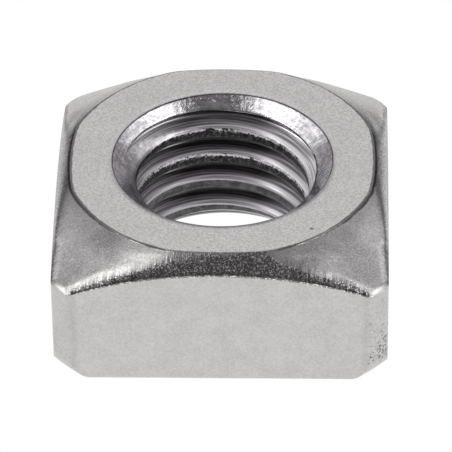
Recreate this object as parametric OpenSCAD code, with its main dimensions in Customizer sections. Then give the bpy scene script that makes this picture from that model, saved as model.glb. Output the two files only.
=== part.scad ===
// Square nut with a right-hand thread, one solid piece, in millimetres.
// The origin is the centre of the flat bearing face and +Z runs up the thread hole.

/* [Overall] */
// Distance between opposite side faces
across_flats = 13; // [12.6:0.1:13.4]
// Height from the bearing face to the flat ring on top
thickness = 5.9; // [5.3:0.05:6.5]
// How much each flat upright corner takes off the side faces
corner_cut = 0.65; // [0.5:0.05:0.8]

/* [Top face] */
// Outer diameter of the flat ring around the hole
ring_d = 12.4; // [12:0.05:12.6]
// Height of the small step at the rim of the ring
ring_step = 0.05; // [0.03:0.01:0.1]
// Fall of the conical chamfer, in degrees from level
chamfer_slope = 32; // [28:0.5:35]
// Radius of the rounding between the conical chamfer and the upright corners
corner_top_r = 0.35; // [0.25:0.05:0.45]

/* [Rounded top edges] */
// How far each rounded edge reaches in over the top
edge_inset = 0.52; // [0.44:0.01:0.6]
// How far each rounded edge reaches down the side at its middle
edge_drop = 0.71; // [0.62:0.01:0.8]
// Radius of the rounded edge
edge_r = 1.6; // [1.4:0.05:2]
// Radius of the bow that each edge follows across its side face
edge_bow_r = 18.25; // [16:0.25:22]

/* [Bearing face] */
// How far the eased lower edges reach in under the nut
foot_inset = 0.12; // [0.08:0.01:0.18]
// How far the eased lower edges reach up the side
foot_rise = 0.2; // [0.14:0.01:0.28]
// Radius of the eased lower edges
foot_r = 0.4; // [0.36:0.02:0.6]
// Diameter on the bearing face at which the lower corners begin to lift
relief_d = 16.5; // [16:0.1:17]
// How much further out from the hole's axis the lifted corners run
relief_out = 0.5; // [0.4:0.05:0.6]
// How high they rise over that distance
relief_rise = 1.2; // [1:0.05:1.4]
// Radius of the lifted corners
relief_r = 1.65; // [1.4:0.05:2]

/* [Thread hole] */
// Diameter of the hole at the thread crests
bore_d = 6.8; // [6.65:0.01:6.9]
// Rise of the thread in one turn
pitch = 1.25; // [1.2:0.01:1.3]
// Height of a thread crest on the +Y side of the hole
crest_z = 3.39; // [2.8:0.01:4]
// Width of the thread crests
crest_w = 0.46; // [0.45:0.01:0.5]
// Width of the flats at the thread roots
root_w = 0.16; // [0.1:0.02:0.22]
// Rim diameter of the upper countersink
top_sink_d = 8.7; // [8.2:0.05:9]
// Angle of the upper countersink wall from the hole's axis
top_sink_angle = 45; // [40:1:58]
// Rim diameter of the lower countersink
foot_sink_d = 8.4; // [8.2:0.05:8.6]
// Angle of the lower countersink wall from the hole's axis
foot_sink_angle = 45; // [35:1:50]

/* [Hidden] */
half = across_flats / 2;
ring_r = ring_d / 2;
bore_r = bore_d / 2;
// Half the angle between the flanks of the thread, in degrees
flank = 30;
root_r = bore_r + (pitch - crest_w - root_w) / 2 / tan(flank);
// Steps that make up one turn of the thread
turn_steps = 40;
// Margin by which the cutting shapes run past the nut
past = 1;
far = across_flats;
// Distance from the axis to the flat upright corners
corner_reach = (across_flats - corner_cut) / sqrt(2);
// Slope at which the rounding on top of the corners ends, in degrees, and its number of narrow cones
corner_end = 75;
corner_steps = 3;
// Centre height of the bow that the rounded top edges follow
bow_z = thickness - edge_drop - edge_bow_r;
// Distance from the axis at which the lifted corners have risen in full
relief_reach = relief_d / 2 + relief_out;
// How far each rounded shoulder's arc runs on past its two end points, in degrees
run_on = 6;
// Number of narrow cones that make up the rounding of the bowed top edges
edge_steps = 6;
$fa = 3;
$fs = 0.2;

// Slice of a disc, counter-clockwise from one spoke to the next, both given from its centre
module slice(centre, from, to) {
    translate(centre)
        intersection() {
            circle(r = norm(from));
            polygon([[0, 0], 1.5 * from, 1.5 * (from + to), 1.5 * to]);
        }
}

// Outline with two rounded shoulders. The arc of a shoulder passes through a point at the given
// reach from the middle at height 0 and one inset from there at height drop, and runs on past both.
// Straight lines carry it on to a peak in the middle and to a ledge outside. The arc is drawn as a
// run of short flats, or as a true arc when only one step is asked for.
module shoulders(reach, inset, drop, radius, base, steps) {
    top = [reach - inset, drop];
    low = [reach, 0];
    chord = norm(low - top);
    inward = [-drop, -inset] / chord;
    centre = (top + low) / 2 + inward * sqrt(radius * radius - chord * chord / 4);
    first = atan2(low[1] - centre[1], low[0] - centre[0]) - run_on;
    last = atan2(top[1] - centre[1], top[0] - centre[0]) + run_on;
    spokes = [
        for (i = [0 : steps])
            let (turn = first + (last - first) * i / steps) radius * [cos(turn), sin(turn)]
    ];
    arc = [for (s = spokes) centre + s];
    ridge = arc[steps];
    polygon(concat(
        [[-reach - past, base], [reach + past, base], [reach + past, arc[0][1]]],
        arc,
        [[0, ridge[1] + ridge[0] / tan(last)]],
        [for (i = [steps : -1 : 0]) [-arc[i][0], arc[i][1]]],
        [[-reach - past, arc[0][1]]]
    ));
    if (steps == 1) {
        slice(centre, spokes[0], spokes[1]);
        slice([-centre[0], centre[1]], [-spokes[1][0], spokes[1][1]], [-spokes[0][0], spokes[0][1]]);
    }
}

// Upright block with flat corners
module block() {
    translate([0, 0, -past])
        linear_extrude(thickness + 2 * past)
            intersection() {
                square(across_flats, center = true);
                rotate(45) square(2 * corner_reach, center = true);
            }
}

// Turned form: bearing face, lifted corners, conical chamfer with its rounded end, stepped ring
module turned() {
    chamfer_out = corner_reach + corner_top_r * (sin(chamfer_slope) - sin(corner_end));
    chamfer_z = thickness - ring_step - (chamfer_out - ring_r) * tan(chamfer_slope);
    centre = [chamfer_out, chamfer_z] - corner_top_r * [sin(chamfer_slope), cos(chamfer_slope)];
    rounding = [
        for (i = [corner_steps : -1 : 0])
            let (turn = chamfer_slope + (corner_end - chamfer_slope) * i / corner_steps)
                centre + corner_top_r * [sin(turn), cos(turn)]
    ];
    outer = rounding[0] + past / 2 * [1, -tan(corner_end)];
    rotate_extrude()
        intersection() {
            translate([0, relief_rise])
                rotate(180)
                    shoulders(relief_reach, relief_out, relief_rise, relief_r, -thickness - past, 1);
            polygon(concat(
                [[0, 0], [outer[0], 0], outer],
                rounding,
                [[ring_r, thickness - ring_step], [ring_r - ring_step / 2, thickness], [0, thickness]]
            ));
        }
}

// Rounded top edges of one pair of opposite sides
module bowed_edges() {
    translate([0, 0, bow_z])
        rotate([90, 0, 0])
            rotate_extrude()
                translate([edge_bow_r, 0])
                    rotate(-90)
                        shoulders(half, edge_inset, edge_drop, edge_r, past - edge_bow_r, edge_steps);
}

// Eased lower edges of one pair of opposite sides
module eased_foot() {
    translate([0, 0, foot_rise])
        rotate([-90, 0, 0])
            linear_extrude(2 * far, center = true)
                shoulders(half, foot_inset, foot_rise, foot_r, -thickness - past, 1);
}

// Thread hole at crest size with a countersink at each end
module hole() {
    foot_r0 = foot_sink_d / 2;
    top_r0 = top_sink_d / 2;
    foot_depth = (foot_r0 - bore_r) / tan(foot_sink_angle);
    top_depth = (top_r0 - bore_r) / tan(top_sink_angle);
    rotate_extrude()
        polygon([
            [0, -past], [foot_r0 + past * tan(foot_sink_angle), -past], [bore_r, foot_depth],
            [bore_r, thickness - top_depth],
            [top_r0 + past * tan(top_sink_angle), thickness + past], [0, thickness + past]
        ]);
}

// Groove of the right-hand thread: a trapezium carried up a helix. It runs from under the nut to
// above it, and from a little inside the hole's wall out to the thread roots.
module thread_groove() {
    inner_r = bore_r - past / 5;
    mouth = (pitch - crest_w) / 2 + (bore_r - inner_r) * tan(flank);
    section = [[inner_r, -mouth], [root_r, -root_w / 2], [root_r, root_w / 2], [inner_r, mouth]];
    // Steps below and above the groove that lies over the crest named by crest_z
    below = ceil((crest_z / pitch + 2) * turn_steps);
    above = ceil(((thickness - crest_z) / pitch + 1) * turn_steps);
    points = [
        for (i = [-below : above])
            let (turn = 90 + 360 * i / turn_steps, z = crest_z + pitch / 2 + pitch * i / turn_steps)
                for (s = section)
                    [s[0] * cos(turn), s[0] * sin(turn), z + s[1]]
    ];
    last = 4 * (below + above);
    sides = [
        for (i = [0 : 4 : last - 4])
            for (j = [0 : 3])
                let (a = i + j, b = i + (j + 1) % 4)
                    for (face = [[a, b + 4, a + 4], [a, b, b + 4]])
                        face
    ];
    ends = [[0, 2, 1], [0, 3, 2], [last, last + 2, last + 3], [last, last + 1, last + 2]];
    polyhedron(points, concat(sides, ends));
}

module square_nut() {
    color([0.73, 0.73, 0.74])
        difference() {
            intersection() {
                block();
                turned();
                eased_foot();
                rotate([0, 0, 90]) eased_foot();
                bowed_edges();
                rotate([0, 0, 90]) bowed_edges();
            }
            hole();
            thread_groove();
        }
}

square_nut();
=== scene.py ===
import math
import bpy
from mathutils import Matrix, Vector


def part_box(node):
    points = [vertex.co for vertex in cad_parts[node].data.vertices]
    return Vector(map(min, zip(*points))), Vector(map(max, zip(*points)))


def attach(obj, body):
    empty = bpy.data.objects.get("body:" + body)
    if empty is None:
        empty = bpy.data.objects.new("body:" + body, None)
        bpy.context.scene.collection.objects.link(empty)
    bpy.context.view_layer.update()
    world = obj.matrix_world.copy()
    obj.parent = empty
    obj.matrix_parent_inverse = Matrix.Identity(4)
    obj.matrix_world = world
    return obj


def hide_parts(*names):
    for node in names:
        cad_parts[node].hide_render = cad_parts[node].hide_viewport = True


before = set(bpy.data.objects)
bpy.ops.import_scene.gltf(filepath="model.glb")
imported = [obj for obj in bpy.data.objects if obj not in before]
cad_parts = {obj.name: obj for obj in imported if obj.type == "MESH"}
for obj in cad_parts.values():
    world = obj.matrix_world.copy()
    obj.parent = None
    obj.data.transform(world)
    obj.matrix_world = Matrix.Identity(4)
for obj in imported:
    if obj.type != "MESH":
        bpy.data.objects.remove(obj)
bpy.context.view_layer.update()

from types import SimpleNamespace

import bmesh
import bpy
import numpy as np
from bpy.props import FloatProperty, FloatVectorProperty, IntProperty, PointerProperty
from mathutils import Matrix, Vector

NODE = "square_nut"
NODE_LOW, NODE_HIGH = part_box(NODE)

# Points of a mesh that lie closer than this, in metres, are one point
WELD = 1e-7

bl_info = {
    "name": "Square nut",
    "version": (1, 0, 0),
    "blender": (4, 5, 0),
    "location": "3D View > Sidebar > Square nut",
    "description": "Dresses the packed square nut with its thread, steel finish, floor, light and camera",
    "category": "Object",
}


def length(name, description, default):
    """A size in metres for a property group."""
    return FloatProperty(name=name, description=description, default=default, precision=5, unit="LENGTH")


def angle(name, description, degrees):
    """An angle for a property group, given in degrees."""
    return FloatProperty(name=name, description=description, default=math.radians(degrees), subtype="ANGLE")


def amount(name, description, default):
    """A plain number for a property group."""
    return FloatProperty(name=name, description=description, default=default, precision=4)


def factor(name, description, default):
    """A number between 0 and 1 for a property group."""
    return FloatProperty(name=name, description=description, default=default, subtype="FACTOR",
                         min=0.0, max=1.0)


def pixels(name, description, default):
    """A distance in the picture for a property group."""
    return FloatProperty(name=name, description=description, default=default, subtype="PIXEL")


def colour(name, description, default):
    """A linear colour for a property group."""
    return FloatVectorProperty(name=name, description=description, default=default, subtype="COLOR",
                               size=3, min=0.0, max=1.0)


class NutSizes(bpy.types.PropertyGroup):
    """Sizes of the nut, the same as the solid's, and the softness of its edges."""

    across_flats: length("Across flats", "Distance between opposite side faces",
                         round(NODE_HIGH.x - NODE_LOW.x, 6))
    thickness: length("Thickness", "Height of the flat ring above the bearing face",
                      round(NODE_HIGH.z - NODE_LOW.z, 6))
    corner_cut: length("Corner cut", "What each flat upright corner takes off the side faces", 0.00065)
    ring_d: length("Ring diameter", "Outside of the flat ring around the hole", 0.0124)
    ring_step: length("Ring step", "Small step at the rim of the ring", 0.00005)
    chamfer_slope: angle("Chamfer slope", "Fall of the conical chamfer", 32.0)
    corner_top_r: length("Corner top radius", "Rounding from the chamfer to the upright corners", 0.00035)
    corner_end: angle("Corner top slope", "Slope at which that rounding ends", 75.0)
    edge_inset: length("Edge inset", "Reach of the rounded edges over the top", 0.00052)
    edge_drop: length("Edge drop", "Reach of the rounded edges down the side", 0.00071)
    edge_r: length("Edge radius", "Radius of the rounded top edges", 0.0016)
    edge_bow_r: length("Edge bow", "Radius of the bow that the top edges follow", 0.01825)
    ease_slope: amount("Ease slope", "Slope to which the rounded edges are eased at the corners", 1.4)
    ease_start: length("Ease start", "Distance from an edge's middle at which that easing starts", 0.0025)
    ease_run: length("Ease run", "Distance over which it grows", 0.002)
    foot_inset: length("Foot inset", "Reach of the eased lower edges under the nut", 0.00012)
    foot_rise: length("Foot rise", "Reach of the eased lower edges up the side", 0.0002)
    foot_r: length("Foot radius", "Radius of the eased lower edges", 0.0004)
    relief_d: length("Corner lift diameter", "Where the lower corners begin to lift", 0.0165)
    relief_out: length("Corner lift reach", "How much further out the lifted corners run", 0.0005)
    relief_rise: length("Corner lift height", "How high they rise over that distance", 0.0012)
    relief_r: length("Corner lift radius", "Radius of the lifted corners", 0.00165)
    run_on: angle("Run-on", "How far the arc of a rounded edge runs on past its ends", 6.0)
    bore_d: length("Crest diameter", "Hole across the thread crests", 0.0068)
    pitch: length("Pitch", "Rise of the thread in one turn", 0.00125)
    crest_z: length("Crest height", "Height of a crest's middle at the back of the hole", 0.00339)
    crest_w: length("Crest width", "Width of the thread crests", 0.00046)
    root_w: length("Root width", "Width of the flats at the thread roots", 0.00016)
    flank: angle("Flank angle", "Half the angle between the flanks of the thread", 30.0)
    top_sink_d: length("Upper countersink", "Rim diameter of the upper countersink", 0.0087)
    top_sink_angle: angle("Upper countersink angle", "Wall angle from the hole's axis", 45.0)
    foot_sink_d: length("Lower countersink", "Rim diameter of the lower countersink", 0.0084)
    foot_sink_angle: angle("Lower countersink angle", "Wall angle from the hole's axis", 45.0)
    fine_soft: length("Fine softness", "Rounding height of the edges that look sharp", 0.00002)
    thread_soft: length("Thread softness", "Rounding height along the thread's crests and roots", 0.00003)
    meet_soft: length("Edge softness", "Rounding height where two rounded edges meet", 0.00008)
    foot_soft: length("Foot softness", "Rounding height around the lifted lower corners", 0.0001)
    ridge_soft: length("Ridge softness", "Rounding of the upright ridges beside the corners", 0.00012)
    crease_soft: length("Crease softness", "Rounding height along the creases of the chamfer", 0.0003)
    crease_run: length("Crease run", "Distance from the ring over which that rounding sets in", 0.0006)
    columns: IntProperty(name="Columns", description="Mesh columns around the axis", default=448, min=64)


class SteelFinish(bpy.types.PropertyGroup):
    """Colours, gloss, marks, and painted light and shade of the steel."""

    steel: colour("Steel", "Reflected colour of the pressed steel", (0.60, 0.592, 0.58))
    cut_steel: colour("Cut steel", "Reflected colour of the cut thread", (0.62, 0.605, 0.62))
    # Painted shade: besides their grain, the rounded edges are darkened where they mirror dark space, and
    # more at their lower lip
    band_grain_and_painted_shade: factor("Edge shade", "How dark the grain makes the rounded edges", 0.42)
    lip_painted_shade: factor("Lip shade", "How much darker the lower lip of the rounded edges is", 0.5)
    # Painted shade: besides their tears, the crests are darkened where the hole shades them
    crest_tear_and_painted_shade: factor("Crest shade", "How dark the torn thread crests are", 0.14)
    # Painted shade: the thread roots are darkened where the groove lies in shade
    root_painted_shade: factor("Root shade", "How dark the thread roots are", 0.26)
    ring_rough: factor("Ring roughness", "Roughness of the ring", 0.36)
    side_rough: factor("Side roughness", "Roughness of the sides and the chamfer", 0.28)
    thread_rough: factor("Thread roughness", "Roughness of the cut thread", 0.32)
    sink_rough: factor("Countersink roughness", "Roughness of the countersinks", 0.17)
    crest_rough: factor("Crest roughness", "Roughness of the torn thread crests", 0.45)
    grain_height: length("Grain height", "Height of the fine grain of the steel", 0.000004)
    band_height: length("Edge grain height", "Height of the drawn grain on the rounded edges", 0.00001)
    comb_height: length("Comb height", "Height of the fine strokes along the chamfer's creases", 0.000012)
    tear_height: length("Tear height", "Height of the tears on the thread crests", 0.00002)
    line_height: length("Line height", "Height of the tool lines along the thread", 0.000005)
    dent_height: length("Dent height", "Height of the dents on the countersink", 0.000024)
    grain_scale: amount("Grain scale", "Grains of the steel in a metre", 13000.0)
    cloud_scale: amount("Cloud scale", "Clouds of the steel in a metre", 1100.0)
    pit_scale: amount("Pit scale", "Places for a pit in a metre", 5200.0)
    scratch_level: factor("Scratch level", "Level of the streaks above which a scratch shows", 0.70)
    lip_w: length("Lip width", "Width of the dark lower lip of the rounded edges", 0.00022)
    ring_reach: length("Ring reach", "Distance from the ring's edge over which its finish fades", 0.0012)
    crease_reach: length("Crease reach", "Height off a crease over which its strokes fade", 0.00033)
    # Painted shade: a dark line round the ring's edge, standing in for the shade in the crease there
    painted_ring_shade_narrow: factor("Narrow ring shade", "Seam at the ring's front and back, in ring reaches", 0.035)
    painted_ring_shade_wide: factor("Wide ring shade", "Seam at the ring's left and right, in ring reaches", 0.095)
    nick_x: length("Nick across", "Place of the nick on the ring, to the right", 0.00352)
    nick_y: length("Nick along", "Place of the nick on the ring, to the back", -0.00447)


class StageLook(bpy.types.PropertyGroup):
    """Floor, light and camera."""

    floor: colour("Floor", "Colour of the lit floor as the steel mirrors it", (0.92, 0.92, 0.92))
    floor_radius: length("Floor radius", "Reach of the floor", 0.06)
    floor_depth: length("Floor depth", "How far the floor lies under the nut, against flicker", 0.00001)
    backdrop: factor("Backdrop", "Brightness of the plain background", 1.0)
    dim_light: amount("Dim light", "Light from the dark space around the viewer", 0.2)
    dim_tint: colour("Dim tint", "Colour of that light", (0.98, 0.925, 1.0))
    over_light: amount("Overhead light", "Light from the soft panel overhead", 0.25)
    left_light: amount("Left light", "Light from the soft panel on the left", 1.9)
    right_light: amount("Right light", "Light from the soft panel on the right", 1.9)
    side_light: amount("Side light", "Light from the panels far aside", 0.8)
    back_light: amount("Back light", "Light from the soft panel behind", 0.82)
    azimuth: angle("Azimuth", "Viewing direction around the nut", 1.695)
    elevation: angle("Elevation", "Viewing direction above the floor", 37.638)
    roll: angle("Roll", "Tilt of the picture", -0.679)
    distance: amount("Distance", "Viewing distance in widths of the nut", 13.697)
    width_px: pixels("Width in the picture", "Width of the nut in the picture", 328.377)
    centre_px: FloatVectorProperty(name="Centre in the picture", size=2, default=(223.245, 218.074),
                                   description="Pixel of the middle of the nut, from the upper left")
    picture_px: pixels("Picture side", "Side of the square picture", 452.0)


def soft_min(a, b, blend):
    """Smaller of two heights, with the crease between them rounded over a height of blend."""
    mix = np.clip(0.5 + 0.5 * (b - a) / blend, 0.0, 1.0)
    return b + (a - b) * mix - blend * mix * (1.0 - mix)


def soft_max(a, b, blend):
    """Larger of two heights, with the crease between them rounded over a height of blend."""
    return -soft_min(-a, -b, blend)


def smooth_step(value):
    """Smooth rise from 0 to 1 as a value goes from 0 to 1."""
    t = np.clip(value, 0.0, 1.0)
    return t ** 2 * (3.0 - 2.0 * t)


def shoulder(t, reach, inset, drop, radius, run_on):
    """Height of a rounded edge at distance t from the middle.

    An arc of the given radius passes through the point at the reach at height 0 and the point
    inset from it at height drop. It runs on inwards by an angle, then its tangent carries on.
    """
    top = np.array([reach - inset, drop])
    low = np.array([reach, 0.0])
    chord = np.linalg.norm(low - top)
    inward = np.array([-drop, -inset]) / chord
    centre = (top + low) / 2 + inward * math.sqrt(radius ** 2 - chord ** 2 / 4)
    last = math.atan2(top[1] - centre[1], top[0] - centre[0]) + run_on
    ridge = centre + radius * np.array([math.cos(last), math.sin(last)])
    line = ridge[1] + (ridge[0] - t) / math.tan(last)
    arc = centre[1] + np.sqrt(np.maximum(radius ** 2 - (t - centre[0]) ** 2, 0.0))
    return np.where(t < ridge[0], line, arc)


def corner_reach(n):
    """Distance from the axis to the flat upright corners."""
    return (n.across_flats - n.corner_cut) / math.sqrt(2.0)


def outline_radius(theta, n):
    """Distance from the axis to the square with cut corners along each direction.

    A direction is folded into the first eighth of a turn. It meets either the side or the flat
    corner, whichever is nearer, and the ridge between them is a little rounded.
    """
    fold = np.abs(np.mod(theta + np.pi / 4, np.pi / 2) - np.pi / 4)
    side = n.across_flats / 2 / np.cos(fold)
    corner = corner_reach(n) / np.cos(np.pi / 4 - fold)
    return soft_min(side, corner, n.ridge_soft)


def cone_height(r, n):
    """Height of the conical chamfer at a distance from the axis, below the step of the ring."""
    return n.thickness - n.ring_step - (r - n.ring_d / 2) * math.tan(n.chamfer_slope)


def corner_rounding(n):
    """Start, centre and end of the arc that turns the cone down to the flat corners.

    Each is a distance from the axis and a height. The arc leaves the cone at the cone's slope and
    ends over the flat corners at the steeper end slope.
    """
    first = np.array([math.sin(n.chamfer_slope), math.cos(n.chamfer_slope)])
    last = np.array([math.sin(n.corner_end), math.cos(n.corner_end)])
    reach = corner_reach(n) + n.corner_top_r * (first[0] - last[0])
    start = np.array([reach, cone_height(reach, n)])
    centre = start - n.corner_top_r * first
    return start, centre, centre + n.corner_top_r * last


def tip_height(n):
    """Height at which the rounding over the flat corners ends."""
    return corner_rounding(n)[2][1]


def ring_and_cone(r, n):
    """Height of the turned top: the level ring, its small step, the cone, and the cone's rounded end.

    The step is half as wide as it is high. Past the end of the rounding a straight line carries
    its slope on.
    """
    ring_r = n.ring_d / 2
    step_w = n.ring_step / 2
    wall = n.thickness - n.ring_step / step_w * (r - ring_r + step_w)
    start, centre, end = corner_rounding(n)
    arc = centre[1] + np.sqrt(np.maximum(n.corner_top_r ** 2 - (r - centre[0]) ** 2, 0.0))
    steep = end[1] - (r - end[0]) * math.tan(n.corner_end)
    outer = np.where(r < start[0], cone_height(r, n), np.where(r < end[0], arc, steep))
    return np.where(r < ring_r, np.minimum(n.thickness, wall), outer)


def bowed_edge(across, along, n):
    """Height of one pair of rounded top edges: a shoulder swung along a bow of large radius.

    Towards the corners, where the shoulder is steep, a gentler slope from the same lower edge
    eases it. At the middle that slope is too steep to take anything off.
    """
    bow_z = n.thickness - n.edge_drop - n.edge_bow_r
    half = n.across_flats / 2
    rise = shoulder(np.abs(across), half, n.edge_inset, n.edge_drop, n.edge_r, n.run_on)
    middle_slope = 4.0
    eased = smooth_step((np.abs(along) - n.ease_start) / n.ease_run)
    slope = middle_slope - (middle_slope - n.ease_slope) * eased
    reach = n.edge_bow_r + soft_min(rise, (half - np.abs(across)) * slope, n.fine_soft)
    return bow_z + np.sqrt(reach ** 2 - along ** 2)


def lower_edge(x, y, n):
    """Height of the lower of the two pairs of rounded edges, with no softness."""
    return np.minimum(bowed_edge(x, y, n), bowed_edge(y, x, n))


def top_height(x, y, n):
    """Height of the nut's upper skin: the lowest of the turned top and the rounded edges.

    The crease between the two is nearly sharp at the ring and grows rounder out over the cone.
    """
    r = np.hypot(x, y)
    edges = soft_min(bowed_edge(x, y, n), bowed_edge(y, x, n), n.meet_soft)
    blend = n.fine_soft + n.crease_soft * smooth_step((r - n.ring_d / 2) / n.crease_run)
    return soft_min(ring_and_cone(r, n), edges, blend)


def foot_height(x, y, n):
    """Height of the nut's lower skin: level, with eased edges and softly lifted corners."""
    reach = n.relief_d / 2 + n.relief_out
    fall = shoulder(np.hypot(x, y), reach, n.relief_out, n.relief_rise, n.relief_r, n.run_on)
    outer = np.maximum(np.abs(x), np.abs(y))
    edge = shoulder(outer, n.across_flats / 2, n.foot_inset, n.foot_rise, n.foot_r, n.run_on)
    return soft_max(n.relief_rise - fall, np.maximum(n.foot_rise - edge, 0.0), n.foot_soft)


def column_angles(count):
    """Angles around the axis, from 0 to a full turn, set closer together at the four corners."""
    even = np.linspace(0.0, 2.0 * np.pi, count + 1)
    crowding = 0.15
    return even + crowding * np.sin(4.0 * even)


def ring_edge(theta, out, n):
    """Distance from the axis at which the level ring ends along each direction.

    Points are tried at even steps from the rim of the hole to the outline, and the last one at
    the full height is taken.
    """
    rim = n.top_sink_d / 2
    tries = 1200
    reach = rim + np.linspace(0.0, 1.0, tries + 1)[:, None] * (out - rim)
    edges = lower_edge(reach * np.cos(theta), reach * np.sin(theta), n)
    level = np.minimum(ring_and_cone(reach, n), edges) > n.thickness - WELD / 10
    return rim + (out - rim) * (level.sum(0) - 1) / tries


def finish_shares(radii, theta, out, edge, n, finish):
    """Three values for each point of the top that say where a finish lies.

    They use the fall, the height from the turned top down to the rounded edges. band grows from 0
    to 1 with the fall, over six tenths of the fall at the outline, and on to 1.5 at the lower lip.
    near falls from 1 at the edge of the ring to 0 at a distance from it. crease is 1 at a small
    fall, where the chamfer meets a rounded edge.
    """
    lip_band = 1.5
    lip_fall = 0.00003
    band_run = 0.6
    least_run = 0.00004
    crease_fall = 0.00005
    fall = ring_and_cone(radii, n) - lower_edge(radii * np.cos(theta), radii * np.sin(theta), n)
    lip = np.clip(1.0 - (out - radii) / finish.lip_w, 0.0, 1.0) * np.clip(fall[-1] / lip_fall, 0.0, 1.0)
    band = np.clip(fall / np.maximum(band_run * fall[-1], least_run), 0.0, 1.0)
    return {
        "band": np.maximum(band, lip_band * lip),
        "near": np.clip(1.0 - np.abs(radii - edge) / finish.ring_reach, 0.0, 1.0),
        "crease": np.clip(1.0 - np.abs(fall - crease_fall) / finish.crease_reach, 0.0, 1.0),
    }


def outer_skin(theta, n, finish):
    """Grid of the skin outside the hole, from the upper rim over the top and side to the lower rim.

    Rows run outwards over the top between the rim, the edge of the flat ring and the outline,
    down the side, and inwards under the nut. Heights come from top_height and foot_height. Also
    gives each row's material number and the shares of finish_shares, which are 0 below the top.
    """
    out = outline_radius(theta, n)
    edge = ring_edge(theta, out, n)
    rim = n.top_sink_d / 2
    c, s = np.cos(theta), np.sin(theta)
    # Distance to both sides of the ring's edge in which rows crowd together
    close = 0.0001
    ring_rows = np.linspace(0.0, 1.0, 9)[:, None]
    even = np.linspace(-1.0, 1.0, 15)[1:, None]
    edge_rows = even * np.abs(even)
    slope_rows = 1.0 - (1.0 - np.linspace(0.0, 1.0, 45)[1:, None]) ** 2
    side_rows = 0.5 - 0.5 * np.cos(np.pi * np.linspace(0.0, 1.0, 12))[1:, None]
    foot_rows = np.linspace(0.0, 1.0, 23)[1:, None] ** 2
    radii = np.vstack([rim + ring_rows * (edge - close - rim), edge + edge_rows * close,
                       edge + close + slope_rows * (out - edge - close)])
    top = np.stack([radii * c, radii * s, top_height(radii * c, radii * s, n)], -1)
    top[0, :, 2] = n.thickness
    shares = finish_shares(radii, theta, out, edge, n, finish)
    high = top[-1, :, 2]
    low = foot_height(out * c, out * s, n)
    side_z = high + side_rows * (low - high)
    side = np.stack(np.broadcast_arrays(out * c, out * s, side_z), -1)
    radii = out + foot_rows * (n.foot_sink_d / 2 - out)
    foot = np.stack([radii * c, radii * s, foot_height(radii * c, radii * s, n)], -1)
    skin = np.concatenate([top, side, foot])
    on_ring = len(ring_rows) + len(edge_rows) // 2 - 1
    zones = np.repeat([0, 1], [on_ring, len(skin) - on_ring])
    plain = np.zeros((len(skin) - len(top), len(theta)))
    return skin, zones, {name: np.concatenate([values, plain]) for name, values in shares.items()}


def thread_rows(n):
    """Heights of the thread's rows at angle 0, set closer together at the crest and root edges.

    One turn's set of offsets from the crest's middle is repeated over the nut's height and one
    turn more, because each row climbs one pitch in a turn.
    """
    crest = n.crest_w / 2
    flank = (n.pitch - n.root_w) / 2
    across = np.array([0.35, 0.85, 1.0])
    up = np.array([0.06, 0.2, 0.4, 0.6, 0.8, 0.94])
    steps = np.concatenate([
        crest * across,
        -crest * across,
        crest + (flank - crest) * up,
        np.array([flank, n.pitch / 2, n.pitch - flank]),
        n.pitch - crest - (flank - crest) * up,
    ])
    start = n.crest_z - n.pitch / 4
    turns = np.arange(-6, 6) * n.pitch
    rows = np.sort((start + turns[:, None] + steps[None, :]).ravel())
    first = rows.searchsorted(-n.pitch) - 1
    last = rows.searchsorted(n.thickness) + 1
    return rows[first:last]


def root_radius(n):
    """Radius of the thread's root, from the widths of its crest and root and the angle of its flanks."""
    return n.bore_d / 2 + (n.pitch - n.crest_w - n.root_w) / 2 / math.tan(n.flank)


def hole_radius(z, climbed, n):
    """Radius of the hole's wall: the thread, or a countersink where that is wider.

    The thread is level at the crest, rises along each flank and is level at the root. climbed is
    the height less the climb of the thread at that angle.
    """
    start = n.crest_z - n.pitch / 4
    off = np.abs(np.mod(climbed - start + n.pitch / 2, n.pitch) - n.pitch / 2)
    flank = n.bore_d / 2 + (off - n.crest_w / 2) / math.tan(n.flank)
    wall = soft_max(flank, np.full_like(flank, n.bore_d / 2), n.thread_soft)
    wall = soft_min(wall, np.full_like(wall, root_radius(n)), n.thread_soft)
    upper = n.top_sink_d / 2 - (n.thickness - z) * math.tan(n.top_sink_angle)
    lower = n.foot_sink_d / 2 - z * math.tan(n.foot_sink_angle)
    return soft_max(wall, np.maximum(upper, lower), n.fine_soft)


def hole_skin(theta, n):
    """Grid of the hole's wall: rows that climb with the thread, between level rows on the countersinks.

    A climbing row's height is its height at angle 0 plus one pitch a turn. It is held between the
    two levels where the countersinks are as wide as the thread's root, so rows beyond such a level
    lie on it and are merged.
    """
    deep = root_radius(n) + 2 * n.fine_soft
    low = (n.foot_sink_d / 2 - deep) / math.tan(n.foot_sink_angle)
    high = n.thickness - (n.top_sink_d / 2 - deep) / math.tan(n.top_sink_angle)
    climb = n.pitch * theta[None, :] / (2.0 * np.pi)
    thread = np.clip(thread_rows(n)[:, None] + climb, low, high)
    level_rows = np.linspace(0.0, 1.0, 7)[:, None] * np.ones_like(climb)
    z = np.concatenate([low * level_rows[:-1], thread, high + (n.thickness - high) * level_rows[1:]])
    radius = hole_radius(z, z - climb, n)
    radius[0] = n.foot_sink_d / 2
    radius[-1] = n.top_sink_d / 2
    return np.stack([radius * np.cos(theta), radius * np.sin(theta), z], -1)


def grid_faces(rows, columns, start):
    """Corner numbers of the quads of a grid stored row by row from number start."""
    number = start + np.arange(rows * columns).reshape(rows, columns)
    quads = np.stack([number[:-1, :-1], number[1:, :-1], number[1:, 1:], number[:-1, 1:]], -1)
    return quads.reshape(-1, 4)


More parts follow.
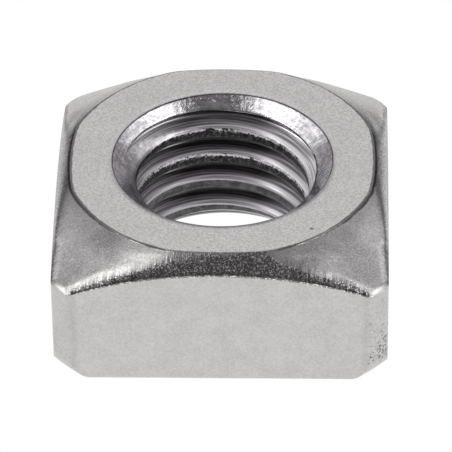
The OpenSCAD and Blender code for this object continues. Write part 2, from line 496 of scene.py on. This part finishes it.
def welded_mesh(name, grids, zones, shares):
    """Mesh of several grids welded where they meet, smooth, with a material number for each face.

    Each grid's first axis runs along the section and its second around the axis. zones holds a
    number for each row of faces. shares names values for the points of the first grid, which are
    kept as attributes and are 0 on the other grids.
    """
    points = []
    faces = []
    marks = []
    count = 0
    for grid, zone in zip(grids, zones):
        rows, columns = grid.shape[:2]
        points.append(grid.reshape(-1, 3))
        faces.append(grid_faces(rows, columns, count))
        marks.append(np.repeat(zone, columns - 1))
        count += rows * columns
    mesh = bpy.data.meshes.new(name)
    mesh.from_pydata(np.concatenate(points).tolist(), [], np.concatenate(faces).tolist())
    mesh.polygons.foreach_set("material_index", np.concatenate(marks).astype(np.int32))
    mesh.polygons.foreach_set("use_smooth", np.ones(len(mesh.polygons), bool))
    for label, values in shares.items():
        every = np.zeros(count, np.float32)
        every[:values.size] = values.ravel()
        mesh.attributes.new(label, "FLOAT", "POINT").data.foreach_set("value", every)
    work = bmesh.new()
    work.from_mesh(mesh)
    bmesh.ops.remove_doubles(work, verts=work.verts, dist=WELD)
    bmesh.ops.dissolve_degenerate(work, edges=work.edges, dist=WELD / 10)
    bmesh.ops.recalc_face_normals(work, faces=work.faces)
    loose = sum(not e.is_manifold for e in work.edges)
    if loose:
        raise RuntimeError(f"{name} has {loose} open edges")
    work.to_mesh(mesh)
    work.free()
    mesh.update()
    return mesh


class Net:
    """Shorthand for adding nodes to a node tree and joining them."""

    def __init__(self, tree):
        self.tree = tree

    def add(self, kind, inputs=None, **settings):
        """Add a node, set its properties, and set or join its inputs."""
        node = self.tree.nodes.new("ShaderNode" + kind)
        for name, value in settings.items():
            setattr(node, name, value)
        for key, value in (inputs or {}).items():
            self.join(value, node.inputs[key])
        return node

    def join(self, value, socket):
        """Join an output to an input, or set the input to a constant."""
        if isinstance(value, bpy.types.NodeSocket):
            self.tree.links.new(value, socket)
        else:
            socket.default_value = value

    def math(self, operation, a, b=0.0):
        """Result of one operation on two values."""
        return self.add("Math", {0: a, 1: b}, operation=operation).outputs[0]

    def chain(self, operation, values):
        """Result of one operation carried on through several values."""
        result = values[0]
        for value in values[1:]:
            result = self.math(operation, result, value)
        return result

    def product(self, *values):
        """Product of several values."""
        return self.chain("MULTIPLY", values)

    def total(self, *values):
        """Sum of several values."""
        return self.chain("ADD", values)

    def most(self, *values):
        """Largest of several values."""
        return self.chain("MAXIMUM", values)

    def minus(self, a, b):
        """First value less the second."""
        return self.math("SUBTRACT", a, b)

    def rest(self, value):
        """What a value lacks to 1."""
        return self.minus(1.0, value)

    def size(self, value):
        """A value without its sign."""
        return self.math("ABSOLUTE", value)

    def mix(self, factor, a, b):
        """First value where a factor is 0, going over to the second where it is 1."""
        return self.add("Mix", {0: factor, 2: a, 3: b}, data_type="FLOAT").outputs[0]

    def ramp(self, value, low, high, first, last):
        """Smooth step from one result to another as a value goes from low to high."""
        inputs = {"Value": value, "From Min": low, "From Max": high, "To Min": first, "To Max": last}
        return self.add("MapRange", inputs, interpolation_type="SMOOTHSTEP").outputs["Result"]

    def rise(self, value, low, high):
        """Mask that rises from 0 to 1 as a value goes from low to high."""
        return self.ramp(value, low, high, 0.0, 1.0)

    def fall(self, value, low, high):
        """Mask that falls from 1 to 0 as a value goes from low to high."""
        return self.ramp(value, low, high, 1.0, 0.0)

    def blend(self, mask, first, last):
        """Smooth step from one result to another as a mask goes from 0 to 1."""
        return self.ramp(mask, 0.0, 1.0, first, last)

    def shaded(self, mask, full):
        """1 where a mask is 0, and the full shade where it is 1."""
        return self.blend(mask, 1.0, full)

    def spread(self, noise, first, last):
        """Noise spread between two results, which it reaches at 0.3 and 0.7."""
        return self.ramp(noise, 0.3, 0.7, first, last)

    def place(self):
        """Object coordinates."""
        return self.add("TexCoord").outputs["Object"]

    def parts(self, vector):
        """The three coordinates of a vector."""
        split = self.add("SeparateXYZ", {0: vector})
        return [split.outputs[axis] for axis in "XYZ"]

    def reach(self, x, y):
        """Distance from the upright axis."""
        flat = self.add("CombineXYZ", {"X": x, "Y": y}).outputs[0]
        return self.add("VectorMath", {0: flat}, operation="LENGTH").outputs["Value"]

    def scaled(self, vector, scale, turn=0.0):
        """Coordinates turned about the upright axis, then stretched by three factors."""
        inputs = {"Vector": vector, "Rotation": (0.0, 0.0, turn), "Scale": scale}
        return self.add("Mapping", inputs, vector_type="POINT").outputs[0]

    def noise(self, vector, scale=1.0, detail=2.0, rough=0.5):
        """Cloudy noise between 0 and 1."""
        inputs = {"Vector": vector, "Scale": scale, "Detail": detail, "Roughness": rough}
        return self.add("TexNoise", inputs).outputs["Fac"]

    def attribute(self, name):
        """Value that the mesh keeps at its points."""
        return self.add("Attribute", attribute_name=name).outputs["Fac"]

    def tint(self, base, shade):
        """Colour times a varying shade."""
        inputs = {0: 1.0, 6: (*base, 1.0), 7: shade}
        return self.add("Mix", inputs, data_type="RGBA", blend_type="MULTIPLY").outputs[2]

    def bump(self, distance, height, normal=None):
        """Normal of a raised pattern, laid over another normal if one is given."""
        inputs = {"Distance": distance, "Height": height}
        if normal is not None:
            inputs["Normal"] = normal
        return self.add("Bump", inputs).outputs[0]

    def group(self, tree, values):
        """Outputs of a shared node group placed here with its own values."""
        return self.add("Group", values, node_tree=tree).outputs


def shared_group(name, inputs, outputs, build):
    """Node group with named inputs and outputs.

    inputs gives each input's default. build gets the group's net and its inputs, and returns the
    values of the outputs.
    """
    tree = bpy.data.node_groups.new(name, "ShaderNodeTree")
    for label, default in inputs.items():
        socket = tree.interface.new_socket(label, in_out="INPUT", socket_type="NodeSocketFloat")
        socket.default_value = default
    for label in outputs:
        tree.interface.new_socket(label, in_out="OUTPUT", socket_type="NodeSocketFloat")
    start = tree.nodes.new("NodeGroupInput")
    end = tree.nodes.new("NodeGroupOutput")
    for value, socket in zip(build(Net(tree), start.outputs), end.inputs):
        tree.links.new(value, socket)
    return tree


def grain_group():
    """Fine: grain of about a tenth of a millimetre. Broad: clouds of about a millimetre."""
    def build(net, given):
        place = net.place()
        fine = net.noise(place, scale=given["Fine scale"], detail=3.0, rough=0.65)
        return fine, net.noise(place, scale=given["Broad scale"], detail=3.0, rough=0.55)
    inputs = {"Fine scale": 13000.0, "Broad scale": 1100.0}
    return shared_group("Steel grain", inputs, ("Fine", "Broad"), build)


def mark_group():
    """Scratch: thin streaks in three directions. Pit: small specks, close together in places."""
    def build(net, given):
        place = net.place()
        full_level = net.total(given["Scratch level"], 0.08)
        streaks = [net.noise(net.scaled(place, (700.0, 11000.0, 5000.0), turn), detail=0.0)
                   for turn in (0.6, 1.9, 2.6)]
        scratches = [net.rise(s, given["Scratch level"], full_level) for s in streaks]
        cells = net.add("TexVoronoi", {"Vector": place, "Scale": given["Pit scale"]})
        middle = net.fall(cells.outputs["Distance"], 0.16, 0.34)
        pick = net.add("SeparateColor", {"Color": cells.outputs["Color"]}).outputs["Red"]
        return net.most(*scratches), net.product(middle, net.rise(pick, 0.55, 0.65))
    inputs = {"Scratch level": 0.7, "Pit scale": 5200.0}
    return shared_group("Steel marks", inputs, ("Scratch", "Pit"), build)


def painted_ring_shade_group():
    """Ring shade: painted shade, a dark line of uneven width round the ring's edge where the crease lies in
    shade, wider at the left and right and fainter at the front and back.
    """
    def build(net, given):
        place = net.place()
        x, y = net.parts(place)[:2]
        aside = net.math("DIVIDE", net.size(x), net.reach(x, y))
        uneven = net.spread(net.noise(place, scale=2200.0, detail=4.0, rough=0.6), -0.010, 0.028)
        width = net.total(net.ramp(aside, 0.6, 0.98, given["Narrow"], given["Wide"]), uneven)
        off = net.math("DIVIDE", net.rest(net.attribute("near")), width)
        faint = net.ramp(aside, 0.25, 0.5, 0.4, 1.0)
        return (net.product(net.fall(off, 0.45, 1.0), faint),)
    return shared_group("Painted ring shade", {"Narrow": 0.035, "Wide": 0.095}, ("Seam",), build)


def steel_material(name):
    """Bare metal material with its node net and shader."""
    material = bpy.data.materials.new(name)
    material.use_nodes = True
    shader = material.node_tree.nodes["Principled BSDF"]
    shader.inputs["Metallic"].default_value = 1.0
    return material, Net(material.node_tree), shader


def place_grain(net, finish, groups):
    """The shared grain, with the finish's values."""
    return net.group(groups["grain"], {"Fine scale": finish.grain_scale, "Broad scale": finish.cloud_scale})


def place_marks(net, finish, groups):
    """The shared marks and the shared painted shade round the ring, with the finish's values."""
    values = {"Scratch level": finish.scratch_level, "Pit scale": finish.pit_scale}
    marks = net.group(groups["marks"], values)
    painted_ring_shade = net.group(groups["painted_ring_shade"], {"Narrow": finish.painted_ring_shade_narrow, "Wide": finish.painted_ring_shade_wide})
    return marks, painted_ring_shade["Seam"]


def ring_material(n, finish, groups):
    """Satin ring: fine grain with a few pits, one nick, and painted shade along its rim."""
    material, net, shader = steel_material("Satin ring")
    grain = place_grain(net, finish, groups)
    marks, painted_ring_shade = place_marks(net, finish, groups)
    nick_place = (finish.nick_x, finish.nick_y, n.thickness)
    nick_off = net.add("VectorMath", {0: net.place(), 1: nick_place}, operation="DISTANCE").outputs["Value"]
    shade = net.product(
        net.spread(grain["Fine"], 0.78, 1.18),
        net.spread(grain["Broad"], 0.94, 1.05),
        net.shaded(net.product(marks["Pit"], net.rise(grain["Broad"], 0.62, 0.72)), 0.55),
        net.shaded(net.fall(nick_off, 0.00004, 0.00012), 0.4),
        # Painted shade in the crease round the ring's edge
        net.shaded(painted_ring_shade, 0.3),
    )
    rough = net.spread(grain["Broad"], finish.ring_rough - 0.04, finish.ring_rough + 0.05)
    net.join(net.tint(finish.steel, shade), shader.inputs["Base Color"])
    net.join(rough, shader.inputs["Roughness"])
    net.join(net.bump(finish.grain_height, grain["Fine"]), shader.inputs["Normal"])
    return material


def pressed_place(net):
    """Values that the finishes of the pressed steel share.

    wide and deep are x and y without their signs, both is their sum and skew their difference.
    at_side is 1 at the nut's left and right and 0 at its front and back. streak is noise drawn out
    across the nearest pair of edges, and drawn is the grain left by drawing.
    """
    place = net.place()
    x, y, z = net.parts(place)
    wide = net.size(x)
    deep = net.size(y)
    skew = net.minus(wide, deep)
    at_side = net.rise(skew, -0.0001, 0.0001)
    fine = 9000.0
    drawn_out = 900.0
    by_front = net.noise(net.scaled(place, (fine, drawn_out, drawn_out)), rough=0.6)
    by_side = net.noise(net.scaled(place, (drawn_out, fine, drawn_out)), rough=0.6)
    return SimpleNamespace(
        place=place, x=x, y=y, z=z, wide=wide, deep=deep, both=net.total(wide, deep), skew=skew,
        at_side=at_side, streak=net.mix(at_side, by_front, by_side),
        drawn=net.noise(place, scale=15000.0, rough=0.7),
    )


def edge_grain_and_painted_shade(net, finish, spot):
    """Mask and shade of the dark drawn grain and of the painted shade and glints on the rounded edges.

    The mask follows the band down the edge, with a streaky upper end, and reaches further up on the
    right, where more painted shade lies. The grain is darker at the lower lip, by painted shade,
    and faint at the nut's left and right; its bright flecks are painted glints.
    """
    band = net.attribute("band")
    # Painted shade reaching further up at the right
    lean = net.total(net.ramp(spot.streak, 0.25, 0.75, -0.3, 0.3), net.ramp(spot.x, 0.0, 0.002, 0.0, 0.75))
    fringe = net.rise(net.total(band, lean), 0.05, 0.5)
    mask = net.product(fringe, net.rise(band, 0.0, 0.06))
    # Grain with painted shade, darker at the lip, and bright flecks that are painted glints
    grain_shade_and_glints = net.product(
        net.ramp(spot.drawn, 0.50, 0.68, finish.band_grain_and_painted_shade, 2.0),
        net.ramp(band, 0.9, 1.4, 1.0, finish.lip_painted_shade),
        net.spread(spot.streak, 0.85, 1.18),
    )
    return mask, net.mix(net.product(mask, net.shaded(spot.at_side, 0.35)), 1.0, grain_shade_and_glints)


def crease_strokes_and_shade(net, spot):
    """Height and shade of the fine strokes across the chamfer's creases, with painted shade along the side
    creases.

    The strokes fade towards the ring. The creases at the nut's left and right also have a line of
    painted shade, and the steel is darker close to the ring.
    """
    crease = net.attribute("crease")
    near = net.attribute("near")
    apart = net.ramp(near, 0.15, 0.75, 1.0, 0.1)
    mask = net.product(crease, apart, net.shaded(spot.at_side, 0.5))
    strokes = net.mix(mask, 1.0, net.ramp(spot.streak, 0.36, 0.62, 0.36, 1.0))
    # Painted shade: a dark line along the creases at the nut's left and right
    painted_side_crease_shade = net.product(spot.at_side, net.ramp(crease, 0.70, 0.95, 0.0, 0.45))
    by_ring = net.ramp(near, 0.1, 1.0, 1.0, 0.70)
    return net.product(spot.streak, crease, apart), net.product(strokes, net.rest(painted_side_crease_shade), by_ring)


def corner_wear_and_painted_shade(net, n, spot):
    """Tip, pits and shade, partly painted shade, of the flat upright corners.

    Painted shade darkens the ridges beside the flats a little. The tip is the rounded upper end, and
    painted shade dims it towards the nut's left and right. Pits and whitish flecks lie on the front
    right corner, fainter on the others, and pits are thicker lower down and towards the right.
    """
    inward = net.minus(n.across_flats - n.corner_cut, spot.both)
    tip_z = tip_height(n)
    corner = net.fall(inward, 0.00004, 0.00018)
    # Painted shade: the ridges beside the flat corners are a little darker
    ridge = net.product(net.ramp(inward, 0.0002, 0.00045, 0.10, 0.0), net.shaded(corner, 0.6))
    tip = net.product(net.fall(inward, 0.00018, 0.0003),
                      net.rise(spot.z, tip_z - 0.00004, tip_z + 0.00004))
    # Painted shade dimming the tip's highlight towards the nut's left and right
    painted_tip_shade = net.ramp(spot.skew, -0.0004, 0.0005, 0.0, 0.4)
    worn = net.product(corner, net.ramp(spot.x, 0.0, 0.001, 0.35, 1.0),
                       net.ramp(spot.y, -0.001, 0.0, 1.0, 0.35))
    skin = net.noise(spot.place, scale=9000.0, detail=3.0, rough=0.7)
    level = net.total(net.ramp(spot.z, 0.0008, 0.0036, 0.50, 0.62),
                      net.ramp(spot.x, 0.0056, 0.0064, 0.05, 0.0))
    pits = net.product(net.rise(net.minus(skin, level), 0.0, 0.08), worn)
    flecks = net.product(worn, net.ramp(skin, 0.34, 0.44, 0.3, 0.0))
    shade = net.product(net.rest(net.product(tip, painted_tip_shade)), net.minus(net.total(1.0, flecks), ridge))
    return tip, pits, shade


def cone_marks(net, n, spot, grain, marks):
    """Shade of the chamfer: stronger grain, bright scratches, and painted light at the front right."""
    half = n.across_flats / 2
    tip_z = tip_height(n)
    on_cone = net.product(net.rise(spot.z, tip_z - 0.00006, tip_z + 0.00034),
                          net.fall(net.most(spot.wide, spot.deep), half - 0.0001, half - 0.00003))
    rougher = net.product(on_cone, net.spread(spot.drawn, -1.0, 1.0))
    # Painted light: the chamfer is lighter at the front right
    painted_light_right = net.product(on_cone, net.ramp(spot.x, 0.001, 0.004, 0.0, 0.16),
                       net.fall(spot.y, -0.002, 0.002))
    scratched = net.product(marks["Scratch"], on_cone, net.ramp(grain["Broad"], 0.5, 0.62, 0.0, 0.5))
    return net.product(net.ramp(rougher, -1.0, 1.0, 0.82, 1.18), net.total(1.0, painted_light_right),
                       net.shaded(scratched, 1.5))


def pressed_material(n, finish, groups):
    """Pressed steel: cloudy sides, a scratched chamfer with painted light at its front right, drawn grain
    with painted shade and glints on the rounded edges, worn corners with painted shade.
    """
    material, net, shader = steel_material("Pressed steel")
    grain = place_grain(net, finish, groups)
    marks, painted_ring_shade = place_marks(net, finish, groups)
    spot = pressed_place(net)
    grained, edge_grain_and_shade = edge_grain_and_painted_shade(net, finish, spot)
    comb, crease_shade = crease_strokes_and_shade(net, spot)
    tip, pits, corner_wear_and_shade = corner_wear_and_painted_shade(net, n, spot)
    rare_pits = net.product(marks["Pit"], net.ramp(grain["Broad"], 0.62, 0.72, 0.0, 0.25))
    shade = net.product(
        net.spread(grain["Broad"], 0.96, 1.04),
        net.spread(grain["Fine"], 0.91, 1.08),
        cone_marks(net, n, spot, grain, marks),
        edge_grain_and_shade,
        crease_shade,
        corner_wear_and_shade,
        net.shaded(net.most(pits, rare_pits), 0.3),
        # Painted shade in the crease round the ring's edge
        net.shaded(painted_ring_shade, 0.2),
    )
    rough = net.spread(grain["Broad"], finish.side_rough - 0.02, finish.side_rough + 0.03)
    fine = net.bump(finish.grain_height, grain["Fine"])
    coarse = net.bump(finish.band_height, net.product(spot.drawn, grained), fine)
    net.join(net.tint(finish.steel, shade), shader.inputs["Base Color"])
    net.join(net.total(rough, net.blend(tip, 0.0, 0.12)), shader.inputs["Roughness"])
    net.join(net.bump(finish.comb_height, comb, coarse), shader.inputs["Normal"])
    return material


def tool_lines(net, share, x, y, count):
    """Noise drawn out along the thread, with about count lines in a pitch."""
    along = 260.0
    inputs = {"X": net.product(share, count), "Y": net.product(x, along), "Z": net.product(y, along)}
    return net.noise(net.add("CombineXYZ", inputs).outputs[0], rough=0.6)


def thread_place(net, n):
    """Values that the finishes of the cut thread share.

    share is the place in the thread: the height over a crest's middle, less the climb at that
    angle, as a share of the pitch. off is the distance to the nearest crest's middle, 0 on a crest
    and a half in a root. sink is 1 on the upper countersink, whose wall slopes at 45 degrees, and
    inner is 1 at its lower end. crest is 1 on the crests and upper on the upper turns.
    """
    place = net.place()
    x, y, z = net.parts(place)
    turn = net.math("DIVIDE", net.math("ARCTAN2", y, x), 2.0 * math.pi)
    climb = net.math("DIVIDE", net.minus(z, n.crest_z - n.pitch / 4), n.pitch)
    share = net.math("FRACT", net.minus(climb, turn))
    off = net.minus(0.5, net.size(net.minus(share, 0.5)))
    r = net.reach(x, y)
    over = net.minus(net.minus(r, z), n.top_sink_d / 2 - n.thickness)
    sink = net.fall(over, 0.000015, 0.00006)
    half = n.crest_w / 2 / n.pitch
    torn_from = 0.0022
    torn_full = 0.0030
    few = tool_lines(net, share, x, y, 15.0)
    many = tool_lines(net, share, x, y, 36.0)
    return SimpleNamespace(
        place=place, x=x, r=r, share=share, off=off, half=half, sink=sink, few=few, many=many,
        lines=net.product(net.total(few, many), 0.5),
        crest=net.product(net.fall(off, half - 0.015, half + 0.015), net.rest(sink)),
        inner=net.fall(r, n.bore_d / 2 + 0.00012, n.bore_d / 2 + 0.00045),
        upper=net.rise(z, torn_from, torn_full),
        torn=net.noise(place, scale=8000.0, detail=4.0, rough=0.8),
        cloud=net.noise(place, scale=3600.0, detail=4.0, rough=0.65),
    )


def crest_tears_and_painted_light(net, finish, spot):
    """Shade of the crests: dark and uneven, torn on the upper turns, with a painted glint near one edge.

    The glint lies near the crest's upper edge. On the upper turns it is ragged, brighter and broken, and
    there the crests carry more painted shade besides their tears.
    """
    wavy = net.total(spot.share, net.product(spot.upper, net.spread(spot.torn, -0.01, 0.06)))
    brink = net.product(net.rise(wavy, spot.half - 0.10, spot.half - 0.05),
                        net.fall(wavy, spot.half, spot.half + 0.03))
    whole = net.rise(net.noise(spot.place, scale=2600.0, detail=3.0, rough=0.7), 0.38, 0.50)
    missing = net.product(spot.upper, net.rest(whole))
    # Painted glint: a bright line near the crest's upper edge, brighter on the upper turns
    painted_glint = net.product(brink, net.blend(missing, 0.8, 0.0), net.shaded(spot.upper, 1.8))
    above = net.product(net.rise(spot.share, 0.0, 0.04), net.fall(spot.share, 0.5, 0.6))
    ragged = net.product(spot.upper, net.ramp(spot.torn, 0.46, 0.70, 0.0, 0.4),
                         net.blend(above, 0.6, 1.5))
    # Torn steel and painted shade: the crests are darker on the upper turns
    plain = net.product(net.blend(spot.upper, 1.2 * finish.crest_tear_and_painted_shade, 0.3 * finish.crest_tear_and_painted_shade),
                        net.spread(spot.cloud, 0.6, 1.4),
                        net.ramp(spot.many, 0.35, 0.65, 0.75, 1.25))
    return net.total(plain, ragged, painted_glint)


def flank_lines_and_painted_shade(net, finish, spot):
    """Painted shade of the flanks, with tool lines: darker towards the root, less so at the left and right,
    and painted lighter at the right.
    """
    # Painted shade towards the root, less at the sides, and painted light at the right
    root = net.ramp(net.size(spot.x), 0.0012, 0.0032, finish.root_painted_shade, 3.0 * finish.root_painted_shade)
    return net.product(net.ramp(spot.off, spot.half + 0.01, spot.half + 0.14, 0.95, root),
                       net.ramp(spot.lines, 0.38, 0.62, 0.35, 1.5),
                       net.ramp(spot.x, 0.001, 0.003, 1.0, 1.9))


def sink_tone(net, n, spot):
    """Specks and shade of the upper countersink: cloudy, specked near its rim, dark at both ends, with
    painted light towards the left and right.
    """
    rim_r = n.top_sink_d / 2
    rim = net.rise(spot.r, rim_r - 0.00007, rim_r - 0.00002)
    speck = net.product(net.rise(spot.r, rim_r - 0.0003, rim_r - 0.00012),
                        net.ramp(spot.torn, 0.58, 0.68, 0.0, 0.8))
    shade = net.product(
        net.total(net.ramp(spot.cloud, 0.35, 0.65, 0.75, 1.22), speck),
        # Painted light: the countersink is lighter towards the nut's left and right
        net.ramp(net.size(spot.x), 0.0024, 0.0038, 1.0, 1.3),
        net.ramp(spot.few, 0.35, 0.65, 0.85, 1.1),
        net.shaded(rim, 0.25),
        net.shaded(spot.inner, 0.8),
    )
    return speck, shade


def thread_material(n, finish, groups):
    """Cut thread: dark torn crests with painted shade and glints, flanks with painted shade that darkens
    towards the roots, and a polished countersink with painted light at its sides.
    """
    material, net, shader = steel_material("Cut thread")
    grain = place_grain(net, finish, groups)
    spot = thread_place(net, n)
    speck, sink_shade = sink_tone(net, n, spot)
    cut_shade = net.mix(spot.crest, flank_lines_and_painted_shade(net, finish, spot), crest_tears_and_painted_light(net, finish, spot))
    shade = net.mix(spot.sink, cut_shade, sink_shade)
    rough = net.mix(spot.sink, net.blend(spot.crest, finish.thread_rough, finish.crest_rough),
                    net.blend(spot.inner, finish.sink_rough, finish.thread_rough))
    lined = net.product(spot.lines, net.most(net.rest(spot.sink), spot.inner))
    beaten = net.total(spot.cloud, net.product(spot.torn, net.ramp(speck, 0.0, 0.8, 0.0, 0.8)))
    turned = net.bump(finish.line_height, lined)
    rent = net.bump(finish.tear_height, net.product(spot.torn, spot.crest, spot.upper), turned)
    dented = net.bump(finish.dent_height, net.product(beaten, spot.sink, net.rest(spot.inner)), rent)
    net.join(net.tint(finish.cut_steel, shade), shader.inputs["Base Color"])
    net.join(rough, shader.inputs["Roughness"])
    net.join(net.bump(finish.grain_height, grain["Broad"], dented), shader.inputs["Normal"])
    return material


class SQUARE_NUT_OT_make_nut(bpy.types.Operator):
    """Make the nut's skin with its thread and steel finish"""

    bl_idname = "square_nut.make_nut"
    bl_label = "Make the nut"

    def execute(self, context):
        n = context.scene.nut_sizes
        finish = context.scene.steel_finish
        theta = column_angles(n.columns)
        outer, row_zone, shares = outer_skin(theta, n, finish)
        hole = hole_skin(theta, n)
        hole_zone = np.full(len(hole) - 1, 2)
        mesh = welded_mesh("nut_skin", [outer, hole], [row_zone[:-1], hole_zone], shares)
        groups = {"grain": grain_group(), "marks": mark_group(), "painted_ring_shade": painted_ring_shade_group()}
        for make in (ring_material, pressed_material, thread_material):
            mesh.materials.append(make(n, finish, groups))
        skin = bpy.data.objects.new("nut_skin", mesh)
        context.scene.collection.objects.link(skin)
        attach(skin, "root")
        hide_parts(NODE)
        return {"FINISHED"}


def studio_world(look):
    """World of soft light: panels at the left, right, back and overhead, and dim space at the viewer.

    Each panel is a product of smooth steps in the direction's coordinates. The left and right
    panels lie ahead of the nut and aside from the viewer, and the back one fades towards the
    horizon. All are dimmer below it. The plain background shows to the camera alone.
    """
    world = bpy.data.worlds.new("Studio")
    world.use_nodes = True
    world.node_tree.nodes.clear()
    net = Net(world.node_tree)
    x, y, z = net.parts(net.add("TexCoord").outputs["Generated"])
    out = net.size(x)
    off_viewer = net.rise(y, -0.65, -0.48)
    panels = net.total(
        net.product(net.ramp(x, -0.42, -0.25, look.left_light, 0.0), net.fall(y, -0.15, 0.05),
                    off_viewer),
        net.product(net.ramp(x, 0.50, 0.62, 0.0, look.right_light), net.fall(y, -0.12, 0.04),
                    off_viewer),
        net.product(net.ramp(out, 0.70, 0.84, 0.0, look.side_light), net.fall(y, 0.25, 0.65)),
        net.product(net.ramp(y, 0.06, 0.45, 0.0, look.back_light), net.ramp(z, 0.18, 0.66, 0.05, 1.0),
                    net.ramp(out, 0.32, 0.62, 1.0, 0.5)),
        net.ramp(z, 0.90, 0.98, 0.0, look.over_light),
    )
    low = net.ramp(z, -0.12, 0.02, 0.25, 1.0)
    white = (1.0, 1.0, 1.0, 1.0)
    bright = net.add("Background", {"Color": white, "Strength": net.product(panels, low)})
    dim_strength = net.product(low, look.dim_light)
    dim = net.add("Background", {"Color": (*look.dim_tint, 1.0), "Strength": dim_strength})
    studio = net.add("AddShader", {0: bright.outputs[0], 1: dim.outputs[0]})
    plain = net.add("Background", {"Color": white, "Strength": look.backdrop})
    seen = net.add("LightPath").outputs["Is Camera Ray"]
    choose = net.add("MixShader", {0: seen, 1: studio.outputs[0], 2: plain.outputs[0]})
    net.add("OutputWorld", {"Surface": choose.outputs[0]})
    return world


def floor_disc(radius, depth):
    """Flat disc on a polar grid at a depth under the nut, each ring twice as far out as the last."""
    rings = 8
    columns = 48
    r = np.concatenate([[0.0], radius * 0.5 ** np.arange(rings - 1, -1, -1)])[:, None]
    t = np.linspace(0.0, 2.0 * np.pi, columns + 1)
    grid = np.stack([r * np.cos(t), r * np.sin(t), np.full((len(r), len(t)), -depth)], -1)
    mesh = bpy.data.meshes.new("floor")
    mesh.from_pydata(grid.reshape(-1, 3).tolist(), [], grid_faces(len(r), len(t), 0).tolist())
    work = bmesh.new()
    work.from_mesh(mesh)
    bmesh.ops.remove_doubles(work, verts=work.verts, dist=WELD)
    work.to_mesh(mesh)
    work.free()
    return mesh


def photo_camera(look, side, height):
    """Camera at the photograph's angle: long lens, aimed so the nut lies where the picture has it."""
    a, e = look.azimuth, look.elevation
    back = Vector((math.sin(a) * math.cos(e), -math.cos(a) * math.cos(e), math.sin(e)))
    right = Vector((math.cos(a), math.sin(a), 0.0))
    up = back.cross(right)
    x_axis = right * math.cos(look.roll) + up * math.sin(look.roll)
    y_axis = up * math.cos(look.roll) - right * math.sin(look.roll)
    metres = side / look.width_px
    middle = look.picture_px / 2
    aim = Vector((0.0, 0.0, height / 2))
    aim += x_axis * (middle - look.centre_px[0]) * metres
    aim += y_axis * (look.centre_px[1] - middle) * metres
    data = bpy.data.cameras.new("camera")
    data.sensor_width = 36.0
    data.lens = data.sensor_width * look.width_px * look.distance / look.picture_px
    data.clip_start = 0.01
    data.clip_end = 20.0
    camera = bpy.data.objects.new("camera", data)
    turn = Matrix((x_axis, y_axis, back)).transposed().to_4x4()
    camera.matrix_world = Matrix.Translation(aim + back * look.distance * side) @ turn
    return camera


def floor_material(look):
    """Lit floor: plain white to the camera, a little less bright in the steel, and clear from below."""
    material = bpy.data.materials.new("Pale floor")
    material.use_nodes = True
    material.node_tree.nodes.clear()
    net = Net(material.node_tree)
    seen = net.add("LightPath").outputs["Is Camera Ray"]
    white = net.add("Emission", {"Color": (look.backdrop, look.backdrop, look.backdrop, 1.0)})
    mirrored = net.add("Emission", {"Color": (*look.floor, 1.0)})
    choose = net.add("MixShader", {0: seen, 1: mirrored.outputs[0], 2: white.outputs[0]})
    below = net.add("NewGeometry").outputs["Backfacing"]
    clear = net.add("BsdfTransparent")
    sides = net.add("MixShader", {0: below, 1: choose.outputs[0], 2: clear.outputs[0]})
    net.add("OutputMaterial", {"Surface": sides.outputs[0]})
    return material


class SQUARE_NUT_OT_make_stage(bpy.types.Operator):
    """Make the floor, the soft light and the camera"""

    bl_idname = "square_nut.make_stage"
    bl_label = "Make the stage"

    def execute(self, context):
        scene = context.scene
        look = scene.stage_look
        n = scene.nut_sizes
        floor = bpy.data.objects.new("floor", floor_disc(look.floor_radius, look.floor_depth))
        floor.data.materials.append(floor_material(look))
        scene.collection.objects.link(floor)
        scene.world = studio_world(look)
        camera = photo_camera(look, n.across_flats, n.thickness)
        scene.collection.objects.link(camera)
        scene.camera = camera
        scene.view_settings.view_transform = "Standard"
        return {"FINISHED"}


class SQUARE_NUT_PT_panel(bpy.types.Panel):
    """Sizes, finish and stage of the square nut"""

    bl_idname = "SQUARE_NUT_PT_panel"
    bl_label = "Square nut"
    bl_space_type = "VIEW_3D"
    bl_region_type = "UI"
    bl_category = "Square nut"

    def draw(self, context):
        for group in (context.scene.nut_sizes, context.scene.steel_finish, context.scene.stage_look):
            box = self.layout.box()
            for name in group.__annotations__:
                box.prop(group, name)
        self.layout.operator(SQUARE_NUT_OT_make_nut.bl_idname)
        self.layout.operator(SQUARE_NUT_OT_make_stage.bl_idname)


CLASSES = (NutSizes, SteelFinish, StageLook, SQUARE_NUT_OT_make_nut, SQUARE_NUT_OT_make_stage,
           SQUARE_NUT_PT_panel)


def register():
    """Register the classes and hang the property groups on the scene."""
    for cls in CLASSES:
        bpy.utils.register_class(cls)
    bpy.types.Scene.nut_sizes = PointerProperty(type=NutSizes)
    bpy.types.Scene.steel_finish = PointerProperty(type=SteelFinish)
    bpy.types.Scene.stage_look = PointerProperty(type=StageLook)


def unregister():
    """Take the property groups and classes away again."""
    del bpy.types.Scene.stage_look
    del bpy.types.Scene.steel_finish
    del bpy.types.Scene.nut_sizes
    for cls in reversed(CLASSES):
        bpy.utils.unregister_class(cls)


def main():
    """Make the nut and its stage."""
    register()
    bpy.ops.square_nut.make_nut()
    bpy.ops.square_nut.make_stage()


if __name__ == "__main__":
    main()
